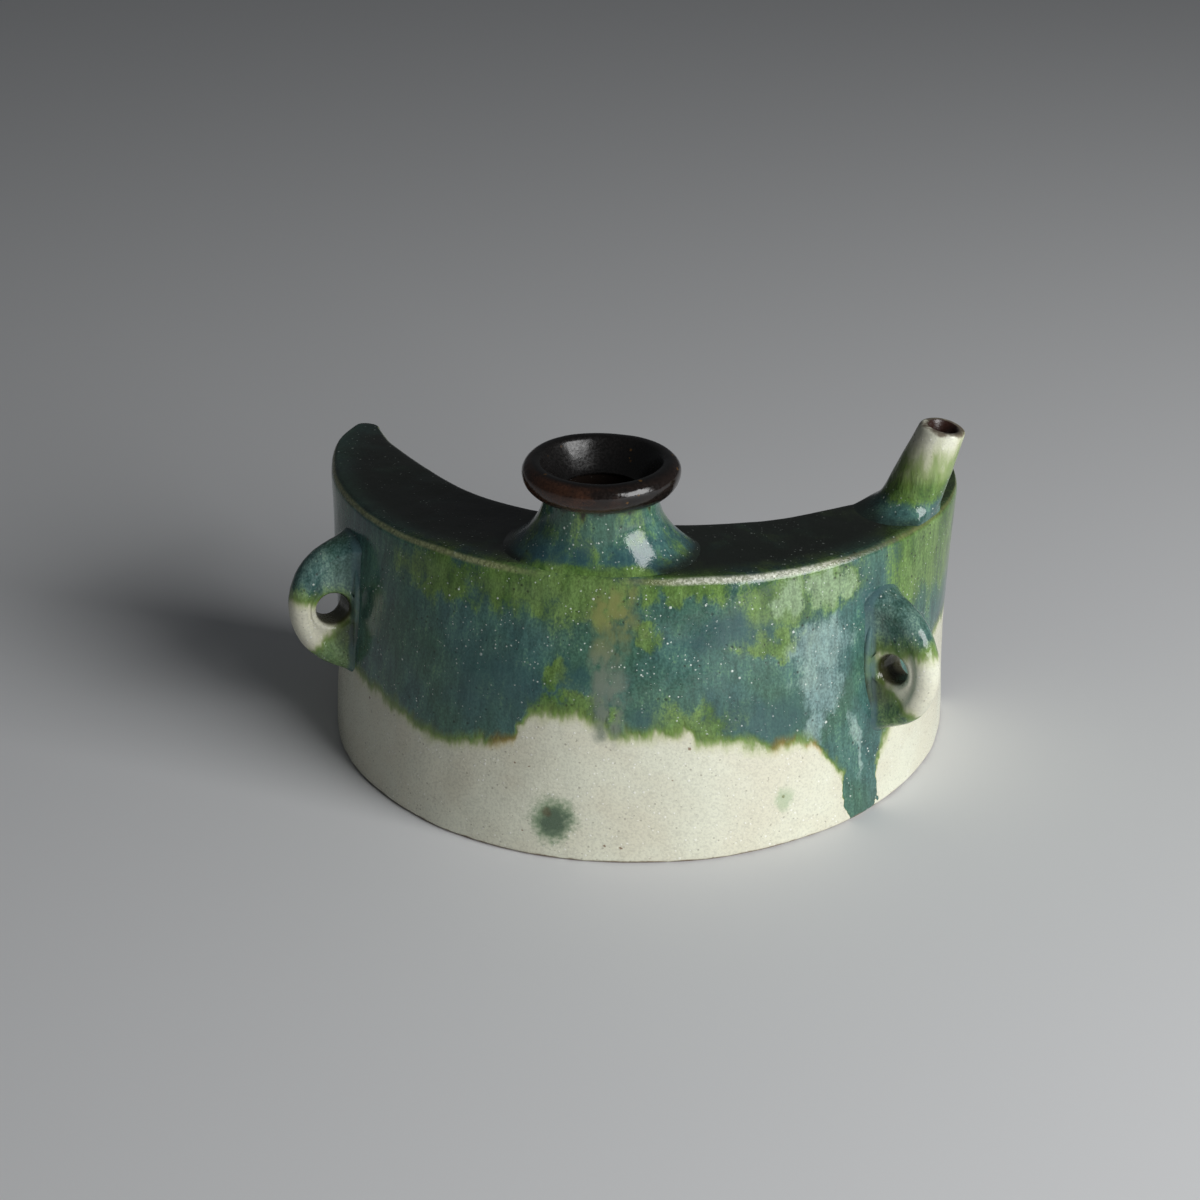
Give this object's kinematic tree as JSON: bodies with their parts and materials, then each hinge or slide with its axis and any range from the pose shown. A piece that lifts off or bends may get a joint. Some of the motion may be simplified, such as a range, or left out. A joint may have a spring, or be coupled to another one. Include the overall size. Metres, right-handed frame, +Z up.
{
  "type": "crescent flask",
  "caption": "Slab-built stoneware hip flask, crescent in plan, with a thrown neck, a small leaning pouring spout and pierced cord lugs.",
  "frame": {"origin": "middle of the flask's box, on the surface that it stands on", "axes": "+X along the crescent towards the spout end, +Y from the bulging front to the hip hollow, +Z up"},
  "size_m": [0.205, 0.1233, 0.1122],
  "materials": {
    "pale_slip": "satin cream slip over stoneware",
    "green_ash_glaze": "glossy runny green ash glaze",
    "iron_brown_glaze": "glossy near-black iron glaze"
  },
  "bodies": {
    "root": {"base_slab": "pale_slip", "front_wall": "green_ash_glaze", "back_wall": "green_ash_glaze", "top_slab": "green_ash_glaze", "neck_collar": "green_ash_glaze", "mouth_ring": "iron_brown_glaze", "pouring_spout": "green_ash_glaze", "left_lug": "green_ash_glaze", "right_lug": "green_ash_glaze"}
  },
  "joints": []
}
